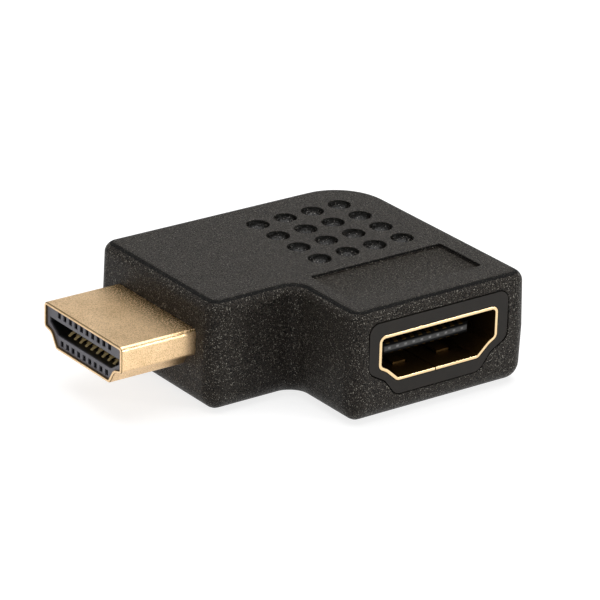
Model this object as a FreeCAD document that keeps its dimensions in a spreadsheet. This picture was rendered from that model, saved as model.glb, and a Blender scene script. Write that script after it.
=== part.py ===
import FreeCAD, Part
import math
import os
import Sketcher

# A flat right angle adapter that turns a digital audio and video plug through
# ninety degrees into a socket. The plug points along -X, the socket's mouth
# faces -Y and the flat base lies on Z = 0. The origin is on the base, below
# the crossing of the plug's axis and the socket's axis. Lengths are in mm.

# Driving sizes: name, value, what it is
SIZES = (
    # The housing: an L in plan, moulded over everything inside it
    ("body_thickness", 11.8, "base to top face"),
    ("arm_front", 9.48, "plug's axis to the arm's side towards the socket, at its top"),
    ("arm_back", 10.57, "plug's axis to the arm's other side, at its top"),
    ("block_left", 10.41, "socket's axis to the block's side towards the plug, at its top"),
    ("block_right", 11.08, "socket's axis to the block's other side, at its top"),
    ("plug_face", 20.38, "origin to the face that the plug leaves"),
    ("socket_face", 19.08, "origin to the face with the socket"),
    ("draft_angle", 1.8, "draft of the sides, up and down from the parting line"),
    ("edge_round", 1.6, "rounding of the upright edges"),
    ("back_round", 5.9, "rounding of the upright edge behind both connectors"),
    ("inside_round", 1.2, "rounding of the upright edge inside the L"),
    ("top_round", 1.1, "rounding of the top edges"),
    ("base_round", 1.95, "rounding of the base edges"),
    ("floor_wall", 1.8, "housing above and below the inner mould"),
    ("side_wall", 2.1, "housing beside the inner mould"),
    ("inner_round", 0.4, "rounding of the inner mould's upright edges"),
    # The marks on the top
    ("recess_length", 16.1, "recess above the socket, along X"),
    ("recess_width", 6.75, "recess above the socket, along Y"),
    ("recess_depth", 0.4, "depth of that recess"),
    ("recess_middle", 11.93, "origin to the middle of the recess"),
    ("recess_round", 0.3, "rounding of the recess corners"),
    ("dimple_width", 2.35, "width of a dimple"),
    ("dimple_depth", 0.7, "depth of a dimple"),
    ("dimple_step_across", 3.43, "dimple to dimple along X"),
    ("dimple_step_along", 3.56, "dimple to dimple along Y"),
    ("dimple_count", 4, "dimples in a row, and rows"),
    ("dimple_middle_across", 0.62, "origin to the middle of the dimples along X"),
    ("dimple_middle_along", 0.04, "origin to the middle of the dimples along Y"),
    # The heights of the inner pieces
    ("board_middle", 6.32, "base to the middle of the circuit board"),
    ("board_thickness", 1.0, "circuit board"),
    ("board_margin", 1.65, "inner mould beyond the board's edges"),
    ("plug_drop", 0.12, "plug's axis below the board's middle"),
    ("socket_rise", 0.12, "socket's axis above the board's middle"),
    # The plug: a folded metal shell round an insulator
    ("plug_width", 13.9, "outside of the shell"),
    ("plug_height", 4.45, "outside of the shell"),
    ("plug_side", 2.7, "upright part of the shell's side"),
    ("plug_shelf", 1.25, "run of the shoulder below the side"),
    ("plug_shelf_angle", 15, "slope of that shoulder"),
    ("plug_flank_angle", 58, "slope from the shoulder to the bottom"),
    ("plug_corner", 0.45, "outer corner rounding"),
    ("plug_hollow", 0.7, "rounding in the hollow of the shoulder"),
    ("plug_sheet", 0.28, "sheet thickness"),
    ("plug_lip", 0.12, "slope on the front edge"),
    ("plug_reach", 8.78, "shell outside the housing"),
    ("plug_root", 5.2, "shell inside the housing"),
    ("plug_setback", 0.25, "insulator behind the front edge"),
    ("mouth_height", 1.53, "slot that takes the socket's tongue"),
    ("mouth_top", 12.4, "width of the slot at its top"),
    ("mouth_bottom", 9.5, "width of the slot at its bottom"),
    ("mouth_side", 0.55, "upright part of the slot's ends"),
    ("mouth_depth", 8.0, "depth of the slot"),
    ("channel_width", 0.55, "channel for one contact"),
    ("channel_height", 0.62, "channel for one contact"),
    ("channel_wall", 0.36, "between the slot and a channel at the front"),
    ("channel_lip", 1.2, "length of that wall"),
    # The contacts
    ("pitch", 1.0, "contact to contact"),
    ("upper_contacts", 10, "contacts in an upper row"),
    ("lower_contacts", 9, "contacts in a lower row"),
    ("contact_width", 0.43, "strip width"),
    ("contact_sheet", 0.2, "strip thickness"),
    ("step_length", 0.6, "strip between the back of a connector and the board's edge"),
    ("tail_length", 1.3, "strip soldered to the board"),
    ("bow_reach", 0.3, "plug contact's bow inside the slot"),
    ("bow_slope", 1.2, "run of the bow's front slope"),
    ("bow_length", 1.2, "flat of the bow"),
    ("solder_room", 0.5, "free room round the tails in the inner mould"),
    # The socket: a metal shell round an insulator with a tongue
    ("socket_width", 14.66, "outside of the shell"),
    ("socket_height", 5.2, "outside of the shell"),
    ("socket_side", 3.45, "upright part of the shell's side"),
    ("socket_shelf", 0.95, "run of the shoulder below the side"),
    ("socket_shelf_angle", 29, "slope of that shoulder"),
    ("socket_flank_angle", 42, "slope from the shoulder to the bottom"),
    ("socket_corner", 0.75, "outer corner rounding"),
    ("socket_hollow", 0.8, "rounding in the hollow of the shoulder"),
    ("socket_sheet", 0.33, "sheet thickness"),
    ("socket_length", 10.6, "length of the shell"),
    ("seam_gap", 0.12, "open seam in the bottom of the shell"),
    ("seam_shift", 0.3, "seam beside the middle"),
    ("spring_width", 1.5, "spring finger in the shell"),
    ("spring_length", 4.6, "spring finger in the shell"),
    ("spring_spread", 2.7, "middle of the shell to a spring finger"),
    ("spring_setback", 2.6, "shell's front edge to the window of a spring finger"),
    ("spring_dip", 0.35, "how far a spring finger leans inward"),
    ("spring_tip", 0.95, "turned tip of a spring finger"),
    ("spring_lift", 0.17, "how far the tip turns back"),
    ("window_margin", 0.2, "window round a spring finger"),
    ("socket_base", 2.6, "insulator behind the cavity"),
    ("tongue_setback", 2.1, "front edge to the tongue"),
    ("tongue_width", 11.2, "tongue"),
    ("tongue_thickness", 1.2, "tongue"),
    ("tongue_nose", 0.3, "slope on the tongue's front edges"),
    ("tongue_corner", 0.5, "slope on the tongue's front corners"),
    ("groove_depth", 0.1, "groove for a contact in the tongue"),
    ("groove_margin", 0.06, "groove beside a contact"),
    ("nose_setback", 0.25, "contact behind the tongue's front"),
    ("nose_slope", 0.3, "slope at the front of a contact"),
    ("nose_tip", 0.05, "thickness of a contact at its front"),
    # The smooth surround of the socket, part of the inner mould
    ("bezel_side", 1.2, "surround beside the shell"),
    ("bezel_margin", 1.4, "surround above and below the shell"),
    ("bezel_upright", 5.05, "upright part of the surround's side"),
    ("bezel_shelf", 2.0, "run of the shoulder below the side"),
    ("bezel_shelf_angle", 30, "slope of that shoulder"),
    ("bezel_flank_angle", 52, "slope from the shoulder to the bottom"),
    ("bezel_corner", 1.1, "outer corner rounding"),
    ("bezel_hollow", 1.0, "rounding in the hollow of the shoulder"),
    ("bezel_gap", 0.12, "clearance between the surround and the housing"),
    ("fit", 0.02, "clearance round a connector's shell and insulator"),
)


class Term:
    """A length or an angle as a number and as the expression that gives it."""

    def __init__(self, number, text):
        self.number = number
        self.text = text

    def __add__(self, other):
        other = as_term(other)
        return Term(self.number + other.number, f"({self.text} + {other.text})")

    def __sub__(self, other):
        other = as_term(other)
        return Term(self.number - other.number, f"({self.text} - {other.text})")

    def __mul__(self, other):
        other = as_term(other)
        return Term(self.number * other.number, f"({self.text} * {other.text})")

    def __truediv__(self, other):
        other = as_term(other)
        return Term(self.number / other.number, f"({self.text} / {other.text})")

    def __neg__(self):
        return Term(-self.number, f"(0 - {self.text})")

    def __radd__(self, other):
        return as_term(other) + self

    def __rsub__(self, other):
        return as_term(other) - self

    def __rmul__(self, other):
        return as_term(other) * self


def as_term(value):
    """Returns a value as a term, whatever it was."""
    return value if isinstance(value, Term) else Term(float(value), f"{float(value):.4f}")


def sine(angle):
    """Returns the sine of an angle in degrees."""
    return Term(math.sin(math.radians(angle.number)), f"sin({angle.text} * 1deg)")


def cosine(angle):
    """Returns the cosine of an angle in degrees."""
    return Term(math.cos(math.radians(angle.number)), f"cos({angle.text} * 1deg)")


def tangent(angle):
    """Returns the tangent of an angle in degrees."""
    return Term(math.tan(math.radians(angle.number)), f"tan({angle.text} * 1deg)")


class Sheet:
    """The sheet of driving sizes, read as terms by name."""

    def __init__(self, document):
        self.cells = document.addObject("Spreadsheet::Sheet", "Sizes")
        self.values = {}
        for row, (name, value, meaning) in enumerate(SIZES, 1):
            self.cells.set(f"A{row}", name)
            self.cells.set(f"B{row}", str(value))
            self.cells.set(f"C{row}", meaning)
            self.cells.setAlias(f"B{row}", name)
            self.values[name] = float(value)
        document.recompute()

    def __getattr__(self, name):
        return Term(self.values[name], f"Sizes.{name}")

    def count(self, name):
        """Returns a size that is a number of copies."""
        return int(self.values[name])


document = FreeCAD.newDocument("RightAngleAdapter")
size = Sheet(document)
TOUCH = 1e-4
OVERRUN = 1.0
RIGHT_ANGLE = 90

# Heights and places that several pieces share
top = size.body_thickness
board_middle = size.board_middle
plug_axis = board_middle - size.plug_drop
socket_axis = board_middle + size.socket_rise
bulge = top / 2 * tangent(size.draft_angle)
plug_tip = -size.plug_face - size.plug_reach
plug_back = size.plug_root - size.plug_face
socket_front = -size.socket_face - bulge / 2
socket_back = socket_front + size.socket_length


# Helpers for bodies, sketches and features

def make_body(label):
    """Starts a body that becomes one piece of the adapter."""
    body = document.addObject("PartDesign::Body", label)
    body.Label = label
    return body


def origin_feature(body, role):
    """Returns one of the body's own origin planes or axes."""
    return next(item for item in body.Origin.OriginFeatures if item.Role == role)


def bind(feature, **terms):
    """Ties properties of a feature to the sheet."""
    for name, term in terms.items():
        feature.setExpression(name, as_term(term).text)


def make_sketch(body, name, plane, height):
    """Adds a sketch on an origin plane of the body, lifted along the plane's normal."""
    sketch = body.newObject("Sketcher::SketchObject", name)
    sketch.AttachmentSupport = [(origin_feature(body, plane), "")]
    sketch.MapMode = "FlatFace"
    sketch.setExpression(".AttachmentOffset.Base.z", as_term(height).text)
    return sketch


def draw_outline(sketch, corners, radii=None):
    """Draws a closed outline, each corner tied to the sheet by its two lengths and its radius."""
    corners = [(as_term(across), as_term(along)) for across, along in corners]
    if radii is None:
        draw_sharp_outline(sketch, corners)
    else:
        draw_round_outline(sketch, corners, radii)


def tie_point(sketch, geometry, end, corner):
    """Ties a point of a sketch to the sheet by its two lengths from the origin."""
    for kind, term in zip(("DistanceX", "DistanceY"), corner):
        number = sketch.addConstraint(Sketcher.Constraint(kind, geometry, end, term.number))
        sketch.setExpression(f"Constraints[{number}]", term.text)


def draw_sharp_outline(sketch, corners):
    """Draws a closed outline of straight lines."""
    count = len(corners)
    spots = [FreeCAD.Vector(across.number, along.number, 0) for across, along in corners]
    sketch.addGeometry([Part.LineSegment(spots[index - 1], spots[index]) for index in range(count)], False)
    joins = [Sketcher.Constraint("Coincident", index, 2, (index + 1) % count, 1) for index in range(count)]
    sketch.addConstraint(joins)
    for index, corner in enumerate(corners):
        tie_point(sketch, index, 2, corner)


def draw_circle(sketch, radius, centre):
    """Draws a circle, tied to the sheet by its centre and its radius."""
    spot = FreeCAD.Vector(centre[0].number, centre[1].number, 0)
    sketch.addGeometry(Part.Circle(spot, FreeCAD.Vector(0, 0, 1), radius.number), False)
    tie_point(sketch, 0, 3, centre)
    number = sketch.addConstraint(Sketcher.Constraint("Radius", 0, radius.number))
    sketch.setExpression(f"Constraints[{number}]", radius.text)


def corner_arc(before, spot, after, radius):
    """Returns the arc that rounds a corner, and its two ends in order."""
    back = (before - spot).normalize()
    ahead = (after - spot).normalize()
    half_angle = back.getAngle(ahead) / 2
    reach = radius / math.tan(half_angle)
    start = spot + back * reach
    end = spot + ahead * reach
    towards = (back + ahead).normalize()
    middle = spot + towards * (radius / math.sin(half_angle) - radius)
    return Part.Arc(start, middle, end), start, end


def draw_round_outline(sketch, corners, radii):
    """Draws a closed outline of lines joined by tangent arcs."""
    count = len(corners)
    spots = [FreeCAD.Vector(across.number, along.number, 0) for across, along in corners]
    arcs = [corner_arc(spots[index - 1], spots[index], spots[(index + 1) % count], radii[index].number)
            for index in range(count)]
    lines = [Part.LineSegment(arcs[index][2], arcs[(index + 1) % count][1]) for index in range(count)]
    sketch.addGeometry([arc[0] for arc in arcs], False)
    sketch.addGeometry(lines, False)
    sketch.addGeometry([Part.Point(spot) for spot in spots], True)
    rules = []
    for index in range(count):
        arc, line, point = index, count + index, 2 * count + index
        ahead = (index + 1) % count
        leaves = same_place(sketch, arc, arcs[index][2])
        enters = same_place(sketch, ahead, arcs[ahead][1])
        rules += [
            Sketcher.Constraint("Tangent", line, 1, arc, leaves),
            Sketcher.Constraint("Tangent", line, 2, ahead, enters),
            Sketcher.Constraint("PointOnObject", point, 1, line),
            Sketcher.Constraint("PointOnObject", 2 * count + ahead, 1, line),
        ]
    sketch.addConstraint(rules)
    for index, corner in enumerate(corners):
        tie_point(sketch, 2 * count + index, 1, corner)
        number = sketch.addConstraint(Sketcher.Constraint("Radius", index, radii[index].number))
        sketch.setExpression(f"Constraints[{number}]", radii[index].text)


def same_place(sketch, arc, spot):
    """Returns which end of an arc lies at a spot: 1 for its start, 2 for its end."""
    return 1 if (sketch.getPoint(arc, 1) - spot).Length < TOUCH else 2


def rectangle(left, right, low, high):
    """Returns the corners of a rectangle."""
    return [(left, low), (right, low), (right, high), (left, high)]


def pad(body, name, sketch, length, both=False, backward=False):
    """Raises a sketch into a solid, to one side or by half to each side."""
    feature = body.newObject("PartDesign::Pad", name)
    feature.Profile = sketch
    feature.SideType = "Symmetric" if both else "One side"
    feature.Reversed = backward
    bind(feature, Length=length)
    return feature


def pocket(body, name, sketch, length, backward=False):
    """Cuts a sketch out of a body, and makes sure that something was cut."""
    document.recompute()
    before = body.Tip.Shape.Volume
    feature = body.newObject("PartDesign::Pocket", name)
    feature.Profile = sketch
    feature.SideType = "One side"
    feature.Reversed = backward
    bind(feature, Length=length)
    document.recompute()
    if feature.Shape.Volume > before - TOUCH:
        raise ValueError(f"{name} cut nothing")
    return feature


def row_of(body, name, features, axis, step, count):
    """Repeats features in a row along an origin axis."""
    pattern = body.newObject("PartDesign::LinearPattern", name)
    pattern.Originals = features
    pattern.Direction = (origin_feature(body, axis), [""])
    bind(pattern, Length=step * (count - 1), Occurrences=count)
    body.Tip = pattern
    return pattern


def dress_edges(body, kind, name, chosen):
    """Adds a feature on the edges of the body that a test chooses."""
    document.recompute()
    base = body.Tip
    edges = [f"Edge{index}" for index, edge in enumerate(base.Shape.Edges, 1) if chosen(edge)]
    if not edges:
        raise ValueError(f"{name} has no edges")
    feature = body.newObject(kind, name)
    feature.Base = (base, edges)
    return feature


def round_edges(body, name, radius, chosen):
    """Rounds the edges that a test chooses."""
    bind(dress_edges(body, "PartDesign::Fillet", name, chosen), Radius=radius)


def slope_edges(body, name, depth, chosen):
    """Slopes the edges that a test chooses."""
    bind(dress_edges(body, "PartDesign::Chamfer", name, chosen), Size=depth)


class Outline:
    """The outline of a connector: square above, narrowed below by a sloping shoulder."""

    def __init__(self, width, height, middle, upright, shelf, shelf_angle, flank_angle, corner, hollow):
        self.half = width / 2
        self.ceiling = middle + height / 2
        self.floor = middle - height / 2
        self.shelf_angle = shelf_angle
        self.flank_angle = flank_angle
        self.shoulder = self.ceiling - upright
        self.hollow_across = self.half - shelf
        self.hollow_up = self.shoulder - shelf * tangent(shelf_angle)
        self.foot = self.hollow_across - (self.hollow_up - self.floor) / tangent(flank_angle)
        self.corner = corner
        self.hollow = hollow

    def outer_spots(self, inset):
        """Returns the corners that stick out on the right side, moved inward by the inset."""
        rise = inset * tangent((RIGHT_ANGLE - self.shelf_angle) / 2)
        run = inset * tangent(self.flank_angle / 2)
        return [
            (self.half - inset, self.ceiling - inset),
            (self.half - inset, self.shoulder + rise),
            (self.foot - run, self.floor + inset),
        ]

    def hollow_spot(self, inset):
        """Returns the hollow corner on the right side, moved inward by the inset."""
        mean = (self.shelf_angle + self.flank_angle) / 2
        reach = inset / cosine((self.flank_angle - self.shelf_angle) / 2)
        return self.hollow_across - reach * sine(mean), self.hollow_up + reach * cosine(mean)

    def corners(self, inset):
        """Returns all corners in order, moved inward by the inset."""
        upper, shoulder, foot = self.outer_spots(inset)
        right = [upper, shoulder, self.hollow_spot(inset), foot]
        left = [(-across, up) for across, up in reversed(right)]
        return right + left

    def draw(self, sketch, inset):
        """Draws the outline in a sketch, moved inward by the inset."""
        outer = self.corner - inset
        right = [outer, outer, self.hollow + inset, outer]
        draw_outline(sketch, self.corners(inset), right + right[::-1])


plug_outline = Outline(
    size.plug_width, size.plug_height, plug_axis, size.plug_side, size.plug_shelf,
    size.plug_shelf_angle, size.plug_flank_angle, size.plug_corner, size.plug_hollow,
)
socket_outline = Outline(
    size.socket_width, size.socket_height, socket_axis, size.socket_side, size.socket_shelf,
    size.socket_shelf_angle, size.socket_flank_angle, size.socket_corner, size.socket_hollow,
)
bezel_outline = Outline(
    size.socket_width + size.bezel_side * 2, size.socket_height + size.bezel_margin * 2, socket_axis,
    size.bezel_upright, size.bezel_shelf, size.bezel_shelf_angle, size.bezel_flank_angle,
    size.bezel_corner, size.bezel_hollow,
)


# The housing

def plan_corners(inset):
    """Returns the corners of the L in plan, moved inward by the inset."""
    left = inset - size.plug_face
    right = size.block_right - inset
    back = size.arm_back - inset
    front = inset - size.socket_face
    inner_side = inset - size.block_left
    inner_front = inset - size.arm_front
    return [
        (left, back), (right, back), (right, front), (inner_side, front),
        (inner_side, inner_front), (left, inner_front),
    ]


def make_housing():
    """Makes the moulded housing, with its openings and the marks on its top."""
    body = make_body("housing")
    plan = make_sketch(body, "HousingPlan", "XY_Plane", top / 2)
    edge, back, inside = (radius + bulge for radius in (size.edge_round, size.back_round, size.inside_round))
    draw_outline(plan, plan_corners(-bulge), [edge, back, edge, edge, inside, edge])
    for name, downward in (("Upper", False), ("Lower", True)):
        half = pad(body, f"{name}HalfForm", plan, top / 2, backward=downward)
        half.Refine = False
    for name, side in (("Upper", 1), ("Lower", -1)):
        draft_half(body, name, side)
    round_edges(body, "HousingTopEdges", size.top_round,
                lambda edge: edge.BoundBox.ZMin > top.number - TOUCH)
    round_edges(body, "HousingBaseEdges", size.base_round, lambda edge: edge.BoundBox.ZMax < TOUCH)
    cut_recess(body)
    cut_dimples(body)
    cut_inner_room(body)
    cut_connector_openings(body)
    return body


def draft_half(body, name, side):
    """Slopes the sides of the upper or the lower half away from the parting line."""
    document.recompute()
    base = body.Tip
    middle = top.number / 2
    sides = [
        f"Face{index}" for index, face in enumerate(base.Shape.Faces, 1)
        if abs(face.CenterOfMass.z - middle - side * middle / 2) < TOUCH and face.BoundBox.ZLength > TOUCH
    ]
    parting = body.newObject("PartDesign::Plane", f"{name}Parting")
    parting.AttachmentSupport = [(origin_feature(body, "XY_Plane"), "")]
    parting.MapMode = "FlatFace"
    parting.setExpression(".AttachmentOffset.Base.z", (top / 2).text)
    draft = body.newObject("PartDesign::Draft", f"{name}Draft")
    draft.Base = (base, sides)
    draft.NeutralPlane = (parting, [""])
    draft.Reversed = side < 0
    bind(draft, Angle=size.draft_angle)
    document.recompute()
    if draft.Shape.Volume > base.Shape.Volume - TOUCH:
        raise ValueError(f"{name}Draft sloped the wrong way")


def cut_recess(body):
    """Sinks the shallow recess above the socket."""
    sketch = make_sketch(body, "RecessPlan", "XY_Plane", top)
    half_length = size.recess_length / 2
    near = -size.recess_middle - size.recess_width / 2
    far = near + size.recess_width
    draw_outline(sketch, rectangle(-half_length, half_length, near, far), [size.recess_round] * 4)
    pocket(body, "Recess", sketch, size.recess_depth)


def cut_dimples(body):
    """Sinks the square field of round dimples."""
    spread = (size.dimple_count - 1) / 2
    sketch = make_sketch(body, "DimplePlan", "XY_Plane", top)
    draw_circle(
        sketch, size.dimple_width / 2,
        (size.dimple_middle_across - spread * size.dimple_step_across,
         size.dimple_middle_along - spread * size.dimple_step_along),
    )
    dimple = pocket(body, "Dimple", sketch, size.dimple_depth)
    field = row_of(body, "Dimples", [dimple], "X_Axis", size.dimple_step_across, size.dimple_count)
    field.Direction2 = (origin_feature(body, "Y_Axis"), [""])
    bind(field, Length2=size.dimple_step_along * (size.dimple_count - 1), Occurrences2=size.dimple_count)


inner_top = top - size.floor_wall
inner_thickness = top - size.floor_wall * 2


def inner_corners():
    """Returns the plan of the inner mould's main block, behind the socket's surround."""
    corners = plan_corners(size.side_wall)
    front = socket_back - size.side_wall
    return [(across, front) if index in (2, 3) else (across, along)
            for index, (across, along) in enumerate(corners)]


def draw_inner_plan(sketch):
    """Draws the block's plan, with one corner that follows the housing's large one."""
    small = size.inner_round
    large = size.back_round - size.side_wall
    draw_outline(sketch, inner_corners(), [small, large, small, small, small, small])


def cut_inner_room(body):
    """Hollows the housing for the inner mould's main block."""
    sketch = make_sketch(body, "InnerRoomPlan", "XY_Plane", inner_top)
    draw_inner_plan(sketch)
    pocket(body, "InnerRoom", sketch, inner_thickness)


def cut_connector_openings(body):
    """Opens the housing for the socket's surround and for the plug."""
    start = size.socket_face + bulge + OVERRUN
    sketch = make_sketch(body, "SurroundOpeningOutline", "XZ_Plane", start)
    bezel_outline.draw(sketch, -size.bezel_gap)
    pocket(body, "SurroundOpening", sketch, start + socket_back)
    start = size.plug_face + bulge + OVERRUN
    sketch = make_sketch(body, "PlugOpeningOutline", "YZ_Plane", -start)
    plug_outline.draw(sketch, -size.fit)
    pocket(body, "PlugOpening", sketch, OVERRUN + bulge + size.plug_root + size.fit, backward=True)


# The inner mould, which shows as the socket's smooth surround

def make_inner_mould():
    """Makes the inner mould round the board and the roots of both connectors."""
    body = make_body("inner_mould")
    plan = make_sketch(body, "InnerPlan", "XY_Plane", inner_top)
    draw_inner_plan(plan)
    pad(body, "InnerBlock", plan, inner_thickness, backward=True)
    surround = make_sketch(body, "SurroundOutline", "XZ_Plane", -socket_front)
    bezel_outline.draw(surround, as_term(0))
    pad(body, "Surround", surround, size.socket_length, backward=True)
    bore = make_sketch(body, "SocketBoreOutline", "XZ_Plane", -socket_front + OVERRUN)
    socket_outline.draw(bore, -size.fit)
    pocket(body, "SocketBore", bore, size.socket_length + OVERRUN)
    bore = make_sketch(body, "PlugBoreOutline", "YZ_Plane", -size.plug_face)
    plug_outline.draw(bore, -size.fit)
    pocket(body, "PlugBore", bore, size.plug_root, backward=True)
    room = make_sketch(body, "BoardRoomPlan", "XY_Plane", board_middle + size.board_thickness / 2)
    draw_outline(room, board_corners())
    pocket(body, "BoardRoom", room, size.board_thickness)
    cut_solder_rooms(body)
    return body


def cut_solder_rooms(body):
    """Leaves room round the soldered tails of both connectors."""
    half = pitch_half(size.upper_contacts) + size.contact_width / 2 + size.solder_room
    reach = size.step_length + size.tail_length + size.solder_room
    height = size.mouth_height / 2 + size.channel_wall + size.channel_height + size.plug_drop
    corners = rectangle(plug_back, plug_back + reach, -half, half)
    sketch = make_sketch(body, "PlugSolderPlan", "XY_Plane", board_middle + height)
    draw_outline(sketch, corners)
    pocket(body, "PlugSolderRoom", sketch, height * 2)
    corners = rectangle(-half, half, socket_back, socket_back + reach)
    sketch = make_sketch(body, "SocketSolderPlan", "XY_Plane", board_middle + height)
    draw_outline(sketch, corners)
    pocket(body, "SocketSolderRoom", sketch, height * 2)


# The circuit board

def board_corners():
    """Returns the plan of the board, which starts a step behind both connectors."""
    inner = plan_corners(size.side_wall + size.board_margin)
    side, back = inner[1]
    front = inner[5][1]
    near = socket_back + size.step_length
    left = plug_back + size.step_length
    return [(left, back), (side, back), (side, near), (-side, near), (-side, front), (left, front)]


def make_board():
    """Makes the circuit board that joins the two connectors."""
    body = make_body("circuit_board")
    plan = make_sketch(body, "BoardPlan", "XY_Plane", board_middle + size.board_thickness / 2)
    draw_outline(plan, board_corners())
    pad(body, "Board", plan, size.board_thickness, backward=True)
    return body


# The plug

def pitch_half(count):
    """Returns half of the span of a row of contacts."""
    return (count - 1) * size.pitch / 2


def make_plug_shell():
    """Makes the plug's folded metal shell, an open tube."""
    body = make_body("plug_shell")
    length = size.plug_reach + size.plug_root
    sketch = make_sketch(body, "PlugShellOutline", "YZ_Plane", plug_tip)
    plug_outline.draw(sketch, as_term(0))
    pad(body, "PlugShellForm", sketch, length)
    slope_edges(body, "PlugShellLip", size.plug_lip,
                lambda edge: edge.BoundBox.XMax < plug_tip.number + TOUCH)
    sketch = make_sketch(body, "PlugShellBoreOutline", "YZ_Plane", plug_tip)
    plug_outline.draw(sketch, size.plug_sheet)
    pocket(body, "PlugShellBore", sketch, length, backward=True)
    return body


def make_plug_insulator():
    """Makes the plug's insulator, with its slot and a channel for each contact."""
    body = make_body("plug_insulator")
    start = plug_tip + size.plug_setback
    length = plug_back - start
    inset = size.plug_sheet + size.fit
    sketch = make_sketch(body, "PlugInsulatorOutline", "YZ_Plane", start)
    plug_outline.draw(sketch, inset)
    pad(body, "PlugInsulatorForm", sketch, length)
    half = size.mouth_height / 2
    upper = [(size.mouth_top / 2, plug_axis + half), (size.mouth_top / 2, plug_axis + half - size.mouth_side),
             (size.mouth_bottom / 2, plug_axis - half)]
    sketch = make_sketch(body, "MouthOutline", "YZ_Plane", start)
    draw_outline(sketch, upper + [(-across, up) for across, up in reversed(upper)])
    pocket(body, "Mouth", sketch, size.mouth_depth, backward=True)
    for name, side, count in (("Upper", 1, size.upper_contacts), ("Lower", -1, size.lower_contacts)):
        cut_channels(body, name, side, count, start, length)
    return body


def cut_channels(body, name, side, count, start, length):
    """Cuts one row of contact channels, open to the slot behind a short wall."""
    slot = size.mouth_height / 2
    wall = slot + size.channel_wall
    lap = size.channel_wall / 2
    left = -pitch_half(count) - size.channel_width / 2
    right = left + size.channel_width
    cuts = []
    rows = (
        ("Channel", wall, wall + size.channel_height, start, length),
        ("Window", slot - lap, wall + lap, start + size.channel_lip, size.mouth_depth - size.channel_lip),
    )
    for kind, near, far, place, depth in rows:
        low, high = (near, far) if side > 0 else (-far, -near)
        sketch = make_sketch(body, f"{name}{kind}Outline", "YZ_Plane", place)
        draw_outline(sketch, rectangle(left, right, plug_axis + low, plug_axis + high))
        cuts.append(pocket(body, f"{name}{kind}", sketch, depth, backward=True))
    row_of(body, f"{name}Channels", cuts, "Y_Axis", size.pitch, count)


def strip_corners(spots, sheet):
    """Returns the outline of a bent strip from the spots along its middle."""
    over = [(along, up + sheet / 2) for along, up in spots]
    under = [(along, up - sheet / 2) for along, up in reversed(spots)]
    return over + under


def plug_contact_spots(side):
    """Returns the middle line of a plug contact, from its nose to the end of its tail."""
    start = plug_tip + size.plug_setback
    half = size.mouth_height / 2
    rest = half + size.channel_wall + size.channel_height / 2
    bow = half - size.bow_reach + size.contact_sheet / 2
    behind = start + size.mouth_depth - size.channel_wall
    solder = size.board_thickness / 2 + size.contact_sheet / 2
    rise = start + size.channel_lip + size.bow_slope
    along_axis = [
        (start + size.nose_setback, rest),
        (start + size.channel_lip, rest),
        (rise, bow),
        (rise + size.bow_length, bow),
        (behind, rest),
        (plug_back, rest),
    ]
    on_board = [
        (plug_back + size.step_length, solder),
        (plug_back + size.step_length + size.tail_length, solder),
    ]
    return ([(along, plug_axis + side * up) for along, up in along_axis]
            + [(along, board_middle + side * up) for along, up in on_board])


def make_contact(label, plane, corners, direction, place):
    """Makes one contact strip and puts it in its place in the row."""
    body = make_body(label)
    sketch = make_sketch(body, f"{label}_side", plane, as_term(0))
    draw_outline(sketch, corners)
    pad(body, f"{label}_strip", sketch, size.contact_width, both=True)
    body.setExpression(f".Placement.Base.{direction}", place.text)
    return body


def make_contacts(connector, plane, direction, corners_of):
    """Makes the upper and the lower row of contacts of a connector."""
    pieces = []
    for side, rank in ((1, "upper_contacts"), (-1, "lower_contacts")):
        start = -pitch_half(getattr(size, rank))
        for index in range(size.count(rank)):
            label = f"{connector}_contact_{len(pieces) + 1:02d}"
            place = start + size.pitch * index
            pieces.append(make_contact(label, plane, corners_of(side), direction, place))
    return pieces


# The socket

def make_socket_shell():
    """Makes the socket's metal shell, with its seam and spring fingers."""
    body = make_body("socket_shell")
    sketch = make_sketch(body, "SocketShellOutline", "XZ_Plane", -socket_front)
    socket_outline.draw(sketch, as_term(0))
    pad(body, "SocketShellForm", sketch, size.socket_length, backward=True)
    sketch = make_sketch(body, "SocketShellBoreOutline", "XZ_Plane", -socket_front)
    socket_outline.draw(sketch, size.socket_sheet)
    pocket(body, "SocketShellBore", sketch, size.socket_length)
    cut_seam(body)
    for name, side in (("Upper", 1), ("Lower", -1)):
        make_springs(body, name, side)
    return body


def cut_seam(body):
    """Cuts the open seam along the bottom of the shell."""
    left = -size.seam_shift - size.seam_gap / 2
    sheet = size.socket_sheet
    margin = sheet
    sketch = make_sketch(body, "SeamPlan", "XY_Plane", socket_outline.floor + sheet + margin)
    draw_outline(sketch, rectangle(left, left + size.seam_gap, socket_front - OVERRUN, socket_back + OVERRUN))
    pocket(body, "Seam", sketch, sheet + margin * 2)


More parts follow.
